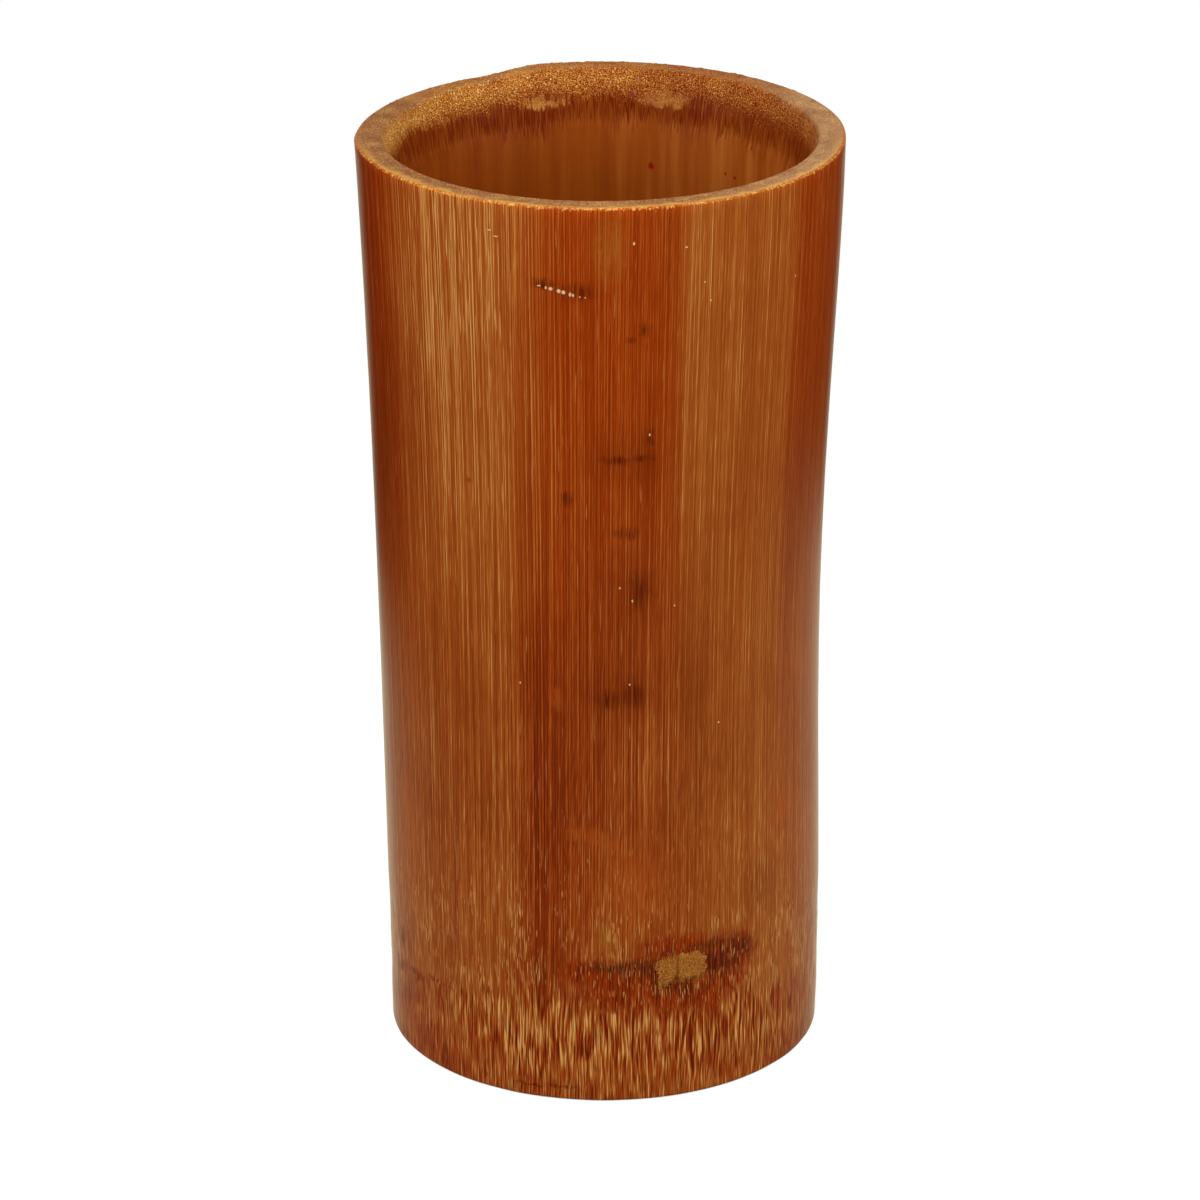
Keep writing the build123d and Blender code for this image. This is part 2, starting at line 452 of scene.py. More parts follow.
class Turning:
    """A geometry tree that turns profile rows into a closed mesh and lowers its surface by a relief."""

    SOCKETS = {
        "Columns": "NodeSocketInt",
        "Profile": "NodeSocketObject",
        "Rows": "NodeSocketInt",
        "Seed": "NodeSocketFloat",
        "Skin start": "NodeSocketFloat",
        "Skin": "NodeSocketMaterial",
        "Cut": "NodeSocketMaterial",
    }

    def __init__(self, name, relief):
        tree = bpy.data.node_groups.new(name, "GeometryNodeTree")
        tree.is_modifier = True
        self.tree = tree
        self.identifiers = {}
        for label, kind in self.SOCKETS.items():
            socket = tree.interface.new_socket(label, in_out="INPUT", socket_type=kind)
            self.identifiers[label] = socket.identifier
        tree.interface.new_socket("Geometry", in_out="OUTPUT", socket_type="NodeSocketGeometry")
        self.build(Graph(tree), relief)

    def build(self, graph, relief):
        given = graph.node("NodeGroupInput")
        terms = (Term(graph, given.outputs[label]) for label in self.SOCKETS)
        columns, profile, rows, seed, start, skin, cut = terms
        span = rows - 1
        grid = graph.make("GeometryNodeMeshGrid", None, {
            "Size X": columns, "Size Y": span, "Vertices X": columns + 1, "Vertices Y": rows})
        across, along, _ = graph.split(graph.make("GeometryNodeInputPosition"))
        row = graph.math("ROUND", along + span / 2)
        line = graph.make("GeometryNodeObjectInfo", None, {"Object": profile}, "Geometry")
        place = graph.make("GeometryNodeSampleIndex", {"data_type": "FLOAT_VECTOR"}, {
            "Geometry": line, "Value": graph.make("GeometryNodeInputPosition"), "Index": row})
        distance = graph.make("GeometryNodeInputNamedAttribute", {"data_type": "FLOAT"}, {"Name": RUN})
        run = graph.make("GeometryNodeSampleIndex", {"data_type": "FLOAT"}, {
            "Geometry": line, "Value": distance, "Index": row})
        radius, lean, height = graph.split(place)
        turn = across / columns * math.tau
        marked = graph.make("GeometryNodeStoreNamedAttribute", {"data_type": "FLOAT"}, {
            "Geometry": grid, "Name": RUN, "Value": run})
        turned = graph.make("GeometryNodeSetPosition", None, {
            "Geometry": marked,
            "Position": graph.vector(lean + radius * graph.math("SINE", turn),
                                     -radius * graph.math("COSINE", turn), height)})
        welded = graph.make("GeometryNodeMergeByDistance", None, {"Geometry": turned, "Distance": WELD})
        out = graph.make("GeometryNodeInputNormal")
        depth, drop = relief(graph, CulmSpace(graph, geometry=True), seed)
        inward = graph.vector_math("MULTIPLY", out, graph.vector(-depth, -depth, -depth))
        offset = graph.vector_math("SUBTRACT", inward, graph.vector(0.0, 0.0, drop))
        lowered = graph.make("GeometryNodeSetPosition", None, {"Geometry": welded, "Offset": offset})
        smooth = graph.make("GeometryNodeSetShadeSmooth", None, {"Geometry": lowered})
        real = graph.make("GeometryNodeRealizeInstances", None, {"Geometry": smooth})
        past_edge = graph.math("GREATER_THAN", distance, 0.0)
        before_skin = graph.math("LESS_THAN", distance, start)
        sound = graph.make("GeometryNodeSetMaterial", None, {"Geometry": real, "Material": skin})
        done = graph.make("GeometryNodeSetMaterial", None, {
            "Geometry": sound, "Selection": graph.most(past_edge, before_skin), "Material": cut})
        graph.node("NodeGroupOutput", None, {0: done})

    def turn(self, name, outline, columns, seed, skin, cut):
        """Run the tree on an outline, its first row of skin and its edge, and return a plain mesh object."""
        profile, foot, edge = outline
        line = profile_object(name + "_profile", profile, edge)
        carrier = added(name + "_carrier", bpy.data.meshes.new(name + "_carrier"))
        modifier = carrier.modifiers.new("Turning", "NODES")
        modifier.node_group = self.tree
        values = {"Columns": columns, "Profile": line, "Rows": len(profile.rows), "Seed": float(seed),
                  "Skin start": profile.runs(edge)[foot], "Skin": skin, "Cut": cut}
        for label, value in values.items():
            modifier[self.identifiers[label]] = value
        piece = plain_copy(carrier, name)
        bpy.data.objects.remove(carrier)
        bpy.data.objects.remove(line)
        return piece


def plain_copy(carrier, name):
    """The evaluated carrier as a plain mesh object with outward faces."""
    bpy.context.view_layer.update()
    evaluated = carrier.evaluated_get(bpy.context.evaluated_depsgraph_get())
    mesh = bpy.data.meshes.new_from_object(evaluated)
    mesh.name = name
    work = bmesh.new()
    work.from_mesh(mesh)
    if work.calc_volume(signed=True) < 0:
        bmesh.ops.reverse_faces(work, faces=work.faces)
    work.to_mesh(mesh)
    work.free()
    return added(name, mesh)


class CulmSpace:
    """Where a point lies on the culm: x, y, z and radius in mm, turn in degrees from the front, run in mm."""

    def __init__(self, graph, geometry=False):
        if geometry:
            place = graph.make("GeometryNodeInputPosition")
            run = graph.make("GeometryNodeInputNamedAttribute", {"data_type": "FLOAT"}, {"Name": RUN})
        else:
            place = graph.make("ShaderNodeTexCoord", None, None, "Object")
            run = graph.make("ShaderNodeAttribute", {"attribute_name": RUN}, None, "Fac")
        self.graph = graph
        self.mm = graph.scaled(place, MM, MM, MM)
        self.x, self.y, self.z = graph.split(self.mm)
        self.radius = graph.math("SQRT", self.x * self.x + self.y * self.y + 1e-6)
        self.turn = graph.math("ARCTAN2", self.x, -self.y) * math.degrees(1.0)
        self.run = run * MM
        self.skin = graph.vector(
            self.x / self.radius * SKIN_RADIUS, self.y / self.radius * SKIN_RADIUS, self.z)
        self.map = graph.vector(self.turn * DEGREE_MM, self.z, 0.0)

    def fibres(self, wide, long, sway=None):
        """Skin coordinates that make a pattern of strands this wide and long, in mm."""
        vector = self.skin if sway is None else self.graph.vector_math("ADD", self.skin, sway)
        return self.graph.scaled(vector, 1 / wide, 1 / wide, 1 / long)

    def strands(self, wide, long):
        """Flat coordinates round the skin and up it, for straight strands this wide and long, in mm."""
        across = self.turn * (DEGREE_MM / wide)
        return self.graph.vector(across, self.z / long + across * STRAND_STEP, 0.0)

    def grains(self, size, tall=None):
        """Coordinates through the solid, for cut fibre ends."""
        return self.graph.scaled(self.mm, 1 / size, 1 / size, 1 / (tall or size))


# The dip in the wall that the halves of the bud scar fill, in mm
BUD_DIP = 0.45
BUD_HALF_WIDTH, BUD_HALF_HEIGHT = 6.4, 4.2

# The rim is sawn lower round its back left: by how much in mm, the turns in degrees
# between which that comes and goes, and the height in mm where it fades out
LOW_CUT = 1.25
LOW_CUT_START = (-166, -149)
LOW_CUT_END = (-72, -100)
LOW_CUT_BOTTOM = 172


def bud_middle():
    """Turn in degrees and height in mm of the middle of the bud scar."""
    low = BUD_BOXES["left"][0]
    high = BUD_BOXES["right"][1]
    middle = (low + high) / 2
    return math.degrees(math.atan2(middle.x, -middle.y)), middle.z * MM


def wall_relief(graph, space, seed):
    """Metres by which the wall lies under its turned form, for planing, chips and the bud's dip, and by which
    its rim is cut low."""
    shift = graph.vector(seed, seed * 2, seed * 3)

    def lumps(vector):
        return graph.noise(graph.vector_math("ADD", vector, shift))

    skin = graph.smooth(space.run, 0.4, -0.4)
    planing = lumps(space.fibres(11, 130)) * 0.22 * skin
    node = graph.band(space.z, 14, 27, 8) * skin
    ripple = lumps(space.fibres(2.4, 4.0)) * 0.30 * node
    edge = graph.band(space.run, -0.5, 0.3, 0.5)
    chips = graph.smooth(lumps(space.fibres(1.8, 3.0)), 0.55, 0.80) * 0.4 * edge
    lip = graph.band(space.run, -0.4, 6.0, 0.6)
    burrs = graph.smooth(lumps(space.grains(1.1)), 0.58, 0.74) * edge
    saw = (lumps(space.grains(2.6)) * 0.2 + 0.1) * lip * (1 - burrs * 0.9)
    mouth = graph.band(space.run, 7.0, 16.0, 2.5)
    paring = (lumps(space.grains(6.0)) * 0.9 + lumps(space.grains(1.0)) * 0.22) * mouth
    inside = graph.smooth(space.run, 17.0, 22.0)
    flutes = lumps(space.fibres(3.2, 60)) * 0.3 * inside
    sole = graph.smooth(space.z, 0.2, 0.05)
    sawn = lumps(space.grains(1.6)) * 0.16 * sole
    bud_turn, bud_height = bud_middle()
    offset = graph.vector_math("SUBTRACT", space.map, (bud_turn * DEGREE_MM, bud_height, 0.0))
    across = graph.scaled(offset, 1 / BUD_HALF_WIDTH, 1 / BUD_HALF_HEIGHT, 0.0)
    dip = graph.smooth(graph.length(across), 1.25, 0.9) * BUD_DIP * skin
    total = planing + ripple + chips + saw + paring + flutes + sawn + dip
    low = graph.smooth(space.turn, *LOW_CUT_START) * graph.smooth(space.turn, *LOW_CUT_END) * LOW_CUT
    return total / MM, low * graph.smooth(space.z, LOW_CUT_BOTTOM, HEIGHT * MM) / MM


def floor_rays(graph, space):
    """Rays from the middle of the floor, which its wrinkles and its colour share."""
    return graph.noise(graph.scaled(space.skin, 0.14, 0.14, 0.0), 3.0)


def floor_relief(graph, space, seed):
    """Depth in metres of the wrinkles of the floor, above and below, and no drop."""
    rays = floor_rays(graph, space)
    rings = graph.noise(graph.vector(space.radius * 0.35, space.z * 0.02, seed), 2.0)
    grains = graph.noise(space.grains(1.5), 3.0)
    calm = graph.smooth(space.radius, 0.0, 12.0)
    return (rays * 0.5 * calm + rings * 0.9 + grains * 0.25) / MM, 0.0


# Each half of the bud scar: half its width, the side that its outer end points to, how far that end droops
# and how much it narrows downwards, in metres and shares, and where its random grain starts
BUD_HALVES = {
    "left": {"half_width": 0.00262, "away": -1.0, "droop": 0.0014, "taper": 0.7, "seed": (3.7, 1.3, 8.1)},
    "right": {"half_width": 0.00342, "away": 1.0, "droop": 0.0006, "taper": 0.1, "seed": (9.2, 4.4, 2.6)},
}
BUD_SQUARE = 0.85       # how square the outline is, 0 for round
BUD_SUNK = 0.00020      # metres, its face under the skin
BUD_GRAIN = 0.00012     # metres, height of its grains
BUD_ROUND = 0.0006      # metres, how far its edges fall
BUD_THICK = 0.0011      # metres
BUD_COUNT = 84          # faces across and up


def bud_surface(side):
    """A function that places points of one half of the scar: -1 to 1 across and up, sunk by a depth."""
    low, high = BUD_BOXES[side]
    tree = cad_tree("culm_wall")
    middle = (low + high) / 2
    radius, lean = outside(tree, middle.z)
    middle_turn = math.atan2(middle.x - lean, -middle.y)
    half_height = (high.z - low.z) / 2
    half_width, away, droop, taper, seed = BUD_HALVES[side].values()
    seed = Vector(seed)

    def place(u, v, sink):
        disc_u = u * math.sqrt(1 - v * v / 2)
        disc_v = v * math.sqrt(1 - u * u / 2)
        s = disc_u * (1 - BUD_SQUARE) + u * BUD_SQUARE
        t = disc_v * (1 - BUD_SQUARE) + v * BUD_SQUARE
        frayed = noise.noise(Vector((s * 16.0, t * 1.2, 0.0)) + seed)
        frayed += noise.noise(Vector((s * 5.0, t, 4.0)) + seed)
        eaten = noise.noise(Vector((s * 1.5, t * 6.0, 8.0)) + seed)
        outer = max(0.0, s * away)
        across = s * (1.0 + (0.35 * eaten - taper * (1 - t) / 2) * outer) * half_width
        up = t * (0.96 + 0.28 * frayed) * half_height + droop * s * (1 - t) / 2
        height = middle.z + up
        local_radius, local_lean = outside(tree, height)
        turn = middle_turn + across / radius
        grain = noise.fractal(Vector((across, up, 0.0)) * 2600 + seed, 0.6, 2.0, 4)
        edge = max(max(0.0, u * away) ** 8, abs(v) ** 8, abs(u) ** 40)
        reach = local_radius - BUD_SUNK + BUD_GRAIN * grain - BUD_ROUND * edge - sink
        return (local_lean + reach * math.sin(turn), -reach * math.cos(turn), height)

    return place


def bud_half(side, finish):
    """One half of the bud scar: a granular cake that fills its pocket, with a crumbled outline."""
    place = bud_surface(side)
    count = BUD_COUNT
    steps = [2 * i / count - 1 for i in range(count + 1)]
    work = bmesh.new()
    faces = []
    for sink in (0.0, BUD_THICK):
        rows = [[work.verts.new(place(u, v, sink)) for v in steps] for u in steps]
        faces.append(rows)
        for i in range(count):
            for j in range(count):
                work.faces.new((rows[i][j], rows[i + 1][j], rows[i + 1][j + 1], rows[i][j + 1]))
    front, back = faces
    ring = [(i, 0) for i in range(count)] + [(count, j) for j in range(count)]
    ring += [(i, count) for i in range(count, 0, -1)] + [(0, j) for j in range(count, 0, -1)]
    for (i, j), (k, m) in zip(ring, ring[1:] + ring[:1]):
        work.faces.new((front[i][j], front[k][m], back[k][m], back[i][j]))
    bmesh.ops.recalc_face_normals(work, faces=work.faces)
    for face in work.faces:
        face.smooth = True
    mesh = bpy.data.meshes.new("bud_" + side)
    work.to_mesh(mesh)
    work.free()
    mesh.materials.append(finish)
    return added("bud_" + side, mesh)


# Materials

# How the stain lies round the upper wall: turn in degrees from the front, then tone, redness, bare streaks.
# The dark tones near -75, -63, 56 and 80 degrees are partly painted shade at the sides of the wall.
HIGH_STAIN_AND_SHADE = (
    (-180, 0.44, 0.55, 0.30),
    (-158, 0.54, 0.25, 0.55),
    (-130, 0.43, 0.70, 0.20),
    (-100, 0.38, 0.85, 0.10),
    (-75, 0.31, 0.95, 0.15),
    (-63, 0.35, 0.95, 0.25),
    (-54, 0.46, 0.55, 0.55),
    (-44, 0.51, 0.28, 0.85),
    (-34, 0.54, 0.15, 0.85),
    (-25, 0.54, 0.25, 0.65),
    (-18, 0.50, 0.50, 0.40),
    (-10, 0.43, 0.95, 0.25),
    (4, 0.39, 1.00, 0.20),
    (14, 0.40, 0.90, 0.20),
    (19.5, 0.45, 0.65, 0.20),
    (21.1, 0.52, 0.05, 0.16),
    (29, 0.47, 0.08, 0.12),
    (41, 0.45, 0.12, 0.10),
    (49, 0.47, 0.15, 0.12),
    (56, 0.41, 0.80, 0.10),
    (80, 0.38, 0.80, 0.10),
    (105, 0.46, 0.35, 0.35),
    (126, 0.54, 0.20, 0.60),
    (150, 0.44, 0.75, 0.15),
    (180, 0.44, 0.55, 0.30),
)

# The same for the lower half of the wall, darker overall: partly the stain, partly painted shade of the light
# falling off towards the foot
LOW_STAIN_AND_SHADE = (
    (-180, 0.40, 0.40, 0.15),
    (-150, 0.44, 0.15, 0.25),
    (-100, 0.36, 0.50, 0.10),
    (-65, 0.37, 0.30, 0.25),
    (-40, 0.38, 0.25, 0.45),
    (-24, 0.39, 0.25, 0.45),
    (-16, 0.25, 0.80, 0.35),
    (-5, 0.29, 0.65, 0.40),
    (6, 0.34, 0.45, 0.40),
    (17, 0.35, 0.35, 0.30),
    (25, 0.39, 0.05, 0.20),
    (34, 0.40, 0.02, 0.14),
    (48, 0.44, 0.02, 0.12),
    (62, 0.42, 0.25, 0.15),
    (90, 0.36, 0.50, 0.10),
    (130, 0.44, 0.15, 0.30),
    (180, 0.40, 0.40, 0.15),
)

# Down through these heights the wall darkens, partly as painted shade
STAIN_AND_SHADE_FALL = (172, 72)    # heights in mm between which the first chart gives way to the second

# Where one finish gives way to the next down the inside: the run in mm at which that starts and ends
LIP_END = (4.6, 6.4)
MOUTH_END = (10.2, 12.0)

# Marks on the skin, and on the inside: turn in degrees, height, half width and half height in mm
PALE_DOTS = (
    (-14.1, 183.0, 0.4, 0.13), (-12.5, 182.7, 0.18, 0.3), (-11.4, 182.5, 0.38, 0.34),
    (-9.5, 182.1, 0.36, 0.42), (-8.4, 181.9, 0.36, 0.4), (-6.9, 181.5, 0.24, 0.46),
    (-6.2, 181.3, 0.2, 0.32), (-4.6, 181.0, 0.12, 0.18), (-3.4, 180.9, 0.1, 0.14),
    (-26.0, 193.6, 0.4, 0.12), (-24.4, 192.4, 0.5, 0.12),
    (7.7, 192.3, 0.2, 0.3), (20.1, 190.7, 0.28, 0.14), (24.8, 182.7, 0.14, 0.2), (26.5, 178.6, 0.14, 0.18),
    (52.4, 178.9, 0.14, 0.2), (11.9, 150.9, 0.16, 0.3), (4.9, 117.4, 0.2, 0.25), (8.1, 114.4, 0.16, 0.3),
    (18.9, 112.6, 0.14, 0.2), (7.5, 95.8, 0.16, 0.2), (31.7, 84.5, 0.18, 0.2), (-20.5, 95.2, 0.16, 0.2),
)
DARK_SMUDGES = (
    (-5.0, 182.0, 3.0, 1.6), (-13.0, 183.4, 2.2, 1.0), (10.4, 173.8, 1.0, 1.6), (7.4, 171.8, 0.9, 0.6),
    (4.0, 145.6, 2.6, 0.9), (10.6, 145.9, 2.0, 0.7), (11.8, 150.2, 0.8, 1.4), (-8.0, 136.9, 1.0, 1.6),
    (6.1, 129.5, 2.2, 1.1), (9.9, 116.8, 1.9, 3.4), (1.8, 92.6, 2.4, 1.6), (8.8, 93.2, 2.2, 2.4),
    (-33.9, 138.3, 0.6, 0.7), (-46.5, 4.6, 0.5, 2.4), (-32.6, 3.7, 0.4, 1.4), (49.2, 3.1, 0.4, 0.4),
    (-68.0, 25.0, 1.2, 2.2), (-19.0, 2.8, 3.0, 0.3), (-10.0, 3.2, 3.0, 0.3),
)
# The first two patches, at the left and right sides of the wall, are painted shade; the others are darker
# stain.
DUSKY_AND_SIDE_SHADE_PATCHES = (
    (-63.0, 146.0, 11.0, 30.0), (60.0, 128.0, 6.0, 20.0), (8.0, 116.0, 6.0, 9.0), (4.0, 94.0, 8.0, 6.0),
    (6.0, 146.0, 7.0, 5.0), (46.0, 44.0, 5.0, 6.0),
)
LIGHT_PATCHES = (
    (-11.1, 92.3, 1.4, 2.2), (-6.0, 62.0, 2.0, 1.4),
    (-1.0, 61.4, 2.6, 1.8), (3.0, 59.6, 2.0, 1.6), (-62.0, 52.0, 3.0, 15.0), (56.0, 60.0, 4.0, 2.4),
    (10.0, 49.0, 8.0, 8.0),
)
GOLD_PATCHES = (
    (2.3, 191.0, 2.6, 6.0), (1.3, 37.6, 2.2, 3.6), (0.0, 22.4, 4.0, 1.4),
)
SCAR_HALO = (
    (-5.0, 30.2, 4.4, 2.4), (1.0, 28.6, 5.0, 4.2), (8.0, 27.4, 5.0, 5.2), (14.0, 27.0, 2.6, 6.0),
    (21.0, 23.6, 9.0, 3.4), (20.0, 35.2, 7.5, 2.4), (32.0, 29.6, 5.0, 6.0), (38.5, 30.4, 4.4, 5.0),
    (4.0, 23.6, 6.0, 2.6), (29.0, 22.8, 5.0, 3.4), (36.0, 24.8, 4.0, 2.6),
    (-70.0, 17.8, 3.0, 1.4), (-60.0, 18.8, 4.0, 1.2), (-48.0, 20.4, 4.0, 0.9),
)
# Where these lie at the bud's halves they darken the wall in the cracks at their edges, as painted shade;
# elsewhere they are char-dark stain round the scar.
SCAR_SHADES = (
    (3.0, 31.2, 5.0, 1.2), (11.0, 31.0, 3.0, 1.9), (13.8, 29.0, 0.7, 3.6), (21.0, 25.0, 5.0, 1.0),
    (30.2, 30.2, 1.6, 4.0), (33.0, 30.4, 3.0, 3.6), (37.0, 31.0, 3.0, 3.2), (30.0, 34.4, 4.0, 1.0),
    (40.6, 31.8, 2.2, 2.4),
)
RED_SPECKS = (
    (164.7, 179.6, 0.7, 0.7), (140.0, 180.5, 0.3, 0.3), (136.3, 180.2, 0.45, 0.35),
)
MOUTH_PATCHES = (
    (160.0, 193.2, 6.0, 1.9), (-164.0, 192.6, 5.0, 1.5),
)


def emptied(owner):
    """The graph of the emptied node tree of a material or a world."""
    owner.use_nodes = True
    owner.node_tree.nodes.clear()
    return Graph(owner.node_tree)


def blank(name):
    """A new material with an empty tree, and the graph of that tree."""
    material = bpy.data.materials.new(name)
    return material, emptied(material)


def shade(graph, sockets):
    """End a material's tree in a Principled shader with these socket values and links."""
    shader = graph.make("ShaderNodeBsdfPrincipled", None, sockets)
    graph.node("ShaderNodeOutputMaterial", None, {"Surface": shader})


def stray(graph, pattern, amount):
    """A shift in mm that wanders with a pattern, for outlines and fibres that aren't straight."""
    shift = graph.noise(pattern, 2.0, output=1)
    return graph.scaled(graph.vector_math("SUBTRACT", shift, (0.5, 0.5, 0.5)), amount, amount, 0.0)


def spots(graph, space, marks, ragged, soft):
    """1 on any of the marks, fading at their outlines."""
    place = graph.vector_math("ADD", space.map, stray(graph, space.grains(1.6), ragged))
    total = 0.0
    for turn, height, half_width, half_height in marks:
        offset = graph.vector_math("SUBTRACT", place, (turn * DEGREE_MM, height, 0.0))
        scaled = graph.scaled(offset, 1 / half_width, 1 / half_height, 0.0)
        total = graph.most(total, graph.smooth(graph.length(scaled), 1.0 + soft, 1.0 - soft))
    return total


def stain(graph, space):
    """Tone, redness and bare streaks at this place, from the charts of the upper and the lower wall. Both
    charts hold painted shade as well as stain: darker at the sides, and lower down.
    """
    drift = graph.noise(space.fibres(24, 50)) * 3.0 - 1.5
    place = (space.turn - drift) / 360 + 0.5
    high, low = ([(turn / 360 + 0.5, levels) for turn, *levels in chart] for chart in (HIGH_STAIN_AND_SHADE, LOW_STAIN_AND_SHADE))
    fall = graph.smooth(space.z, *STAIN_AND_SHADE_FALL)
    tone, redness, bare = graph.split(graph.mix(fall, graph.ramp(place, high), graph.ramp(place, low)))
    tone = tone + graph.smooth(space.z, 70, 42) * 0.05
    return tone, redness, bare * (0.65 + graph.smooth(space.z, 145, 180) * 0.35)


def skin_finish(graph, space, colours):
    """Colour and bump height of the stained outside: straight fibres, bare threads and clouds of stain."""
    tone, redness, bare = stain(graph, space)
    sway = stray(graph, space.fibres(12, 60), 0.3)
    low = graph.smooth(space.z, 95.0, 55.0)
    lines = graph.noise(space.strands(0.34, 70), 0.0, flat=True)
    dashes = graph.noise(space.strands(0.36, 24), 0.0, flat=True)
    ticks = graph.noise(space.strands(0.33, 3), 0.0, flat=True)
    bands = graph.noise(space.fibres(4.5, 260), 2.0)
    clouds = graph.noise(space.fibres(13, 24), 3.0)
    grain = (lines - 0.5) * (0.46 + bare * 0.55) + (dashes - 0.5) * (0.2 + bare * 0.8)
    grain = grain * (0.5 + clouds) + (ticks - 0.5) * (0.22 + low * 0.14)
    grain = grain + graph.math("ABSOLUTE", grain) * 0.5
    light = tone + grain + (bands - 0.5) * 0.09 + (clouds - 0.5) * 0.18
    brown = graph.ramp(light, [
        (0.14, colours.dark), (0.45, colours.brown), (0.70, colours.tan), (1.0, colours.cream)])
    red = graph.ramp(light, [
        (0.14, colours.dark), (0.45, colours.red), (0.70, colours.orange), (1.0, colours.tan)])
    colour = graph.mix(redness, brown, red)
    thread = graph.noise(space.fibres(0.22, 10, sway), 0.0)
    bar = 0.82 - bare * 0.20 - low * 0.04
    threads = graph.smooth(thread, bar, bar + 0.06) * (0.3 + 0.7 * bare)
    colour = graph.mix(threads * 0.9, colour, colours.cream)
    return colour, lines


def node_finish(graph, space, colours, colour, relief):
    """Fibres cut across at the node: pale and dark dashes like flames below it, with painted shade in the
    crevices between them, thin flecks above it.
    """
    sway = stray(graph, space.fibres(5.0, 13.0), 1.3)
    uneven = graph.noise(space.fibres(6.0, 9.0), 2.0)
    forward = graph.most(-space.y / space.radius, 0.35)
    border = 9.0 + forward * 15.5 + (uneven - 0.5) * 5.0
    tooth = graph.noise(space.fibres(0.5, 30.0, sway), 1.0)
    below = graph.smooth(space.z + (tooth - 0.5) * 12.0, border + 2.0, border - 2.0)
    flame = graph.noise(space.fibres(0.33, 8.0, sway), 0.0)
    hair = graph.noise(space.fibres(0.22, 5.0, sway), 0.0)
    patchy = graph.noise(space.fibres(10, 8), 2.0)
    calm = graph.smooth(space.z, 22.0, 10.0) * graph.smooth(space.turn, -18.0, -42.0)
    grown = graph.smooth(border - space.z, -1.0, 6.0)
    lively = graph.smooth(space.z, 1.0, 13.0) * (1 - calm) * graph.smooth(space.y, -18.0, -36.0) * 0.6 + 0.4
    level = 0.43 + grown * 0.05 - calm * 0.05
    light = (flame - 0.5) * 1.15 * lively + (hair - 0.5) * 0.6 + (patchy - 0.5) * 0.3 + level
    ground = graph.ramp(light, [
        (0.22, colours.dark), (0.38, colours.red), (0.48, colours.brown), (0.59, colours.tan),
        (0.76, colours.cream)])
    colour = graph.mix(below, colour, ground)
    offset = graph.vector_math("ADD", sway, (3.1, 2.3, 5.7))
    # Dark lines between the flames: painted shade of the crevices between the cut fibres, also sunk a little
    # in the bump
    crevice_shade = graph.smooth(graph.noise(space.fibres(0.26, 6.0, offset), 1.0), 0.38, 0.32) * below
    colour = graph.mix(crevice_shade * 0.75, colour, colours.dark)
    near = graph.smooth(space.z - border, 60.0, 0.0) * (1 - below)
    clump = graph.noise(space.fibres(5.0, 14.0), 2.0) - 0.5
    bar = 0.82 - near * (0.17 + clump * 0.6)
    fleck = graph.smooth(graph.noise(space.fibres(0.18, 4.6, sway), 0.0), bar, bar + 0.08)
    colour = graph.mix(fleck * (0.2 + near * 0.6), colour, colours.cream)
    return colour, relief * (1 - below) + below * light - crevice_shade * 0.5 + fleck * near * 0.3


def skin_marks(graph, space, colours, colour):
    """Dusky patches, two of them painted shade at the sides of the wall, light and golden patches, the
    stained scar round the bud with painted shade in the cracks at its halves, smudges and pale dots.
    """
    # Dusky patches: darker stain, and painted shade at the sides of the wall
    dusk_and_side_shade = spots(graph, space, DUSKY_AND_SIDE_SHADE_PATCHES, 3.0, 0.8)
    colour = graph.mix(dusk_and_side_shade * 0.26, colour, colours.dark)
    streaks = graph.smooth(graph.noise(space.fibres(0.24, 3.6), 1.0, 0.6), 0.35, 0.60)
    patches = spots(graph, space, LIGHT_PATCHES, 3.0, 0.7) * (0.3 + streaks * 0.7)
    colour = graph.mix(patches * 0.55, colour, colours.orange)
    bright = spots(graph, space, GOLD_PATCHES, 3.0, 0.8) * (0.4 + streaks * 0.6)
    colour = graph.mix(bright * 0.6, colour, colours.mouth)
    halo = spots(graph, space, SCAR_HALO, 3.4, 0.6)
    lines = graph.noise(space.strands(0.36, 6), 0.0, flat=True)
    colour = graph.mix(halo, colour, colours.red)
    colour = graph.mix(halo * graph.smooth(lines, 0.54, 0.42) * 0.95, colour, colours.dark)
    # Char marks round the bud, and painted shade in the cracks at its halves
    shades = spots(graph, space, SCAR_SHADES, 3.4, 0.8)
    colour = graph.mix(shades * (0.3 + graph.smooth(lines, 0.60, 0.46) * 0.6), colour, colours.char)
    flecks = graph.smooth(graph.noise(space.fibres(0.19, 2.4), 0.0), 0.66, 0.74) * graph.most(halo, shades)
    colour = graph.mix(flecks * 0.6, colour, colours.cream)
    smudges = spots(graph, space, DARK_SMUDGES, 2.2, 0.9)
    colour = graph.mix(smudges * (0.25 + graph.smooth(lines, 0.60, 0.44) * 0.6), colour, colours.dark)
    colour = graph.mix(smudges * smudges * graph.smooth(lines, 0.48, 0.38) * 0.6, colour, colours.char)
    dots = spots(graph, space, PALE_DOTS, 0.25, 0.3)
    return graph.mix(dots * 0.8, colour, colours.nick)


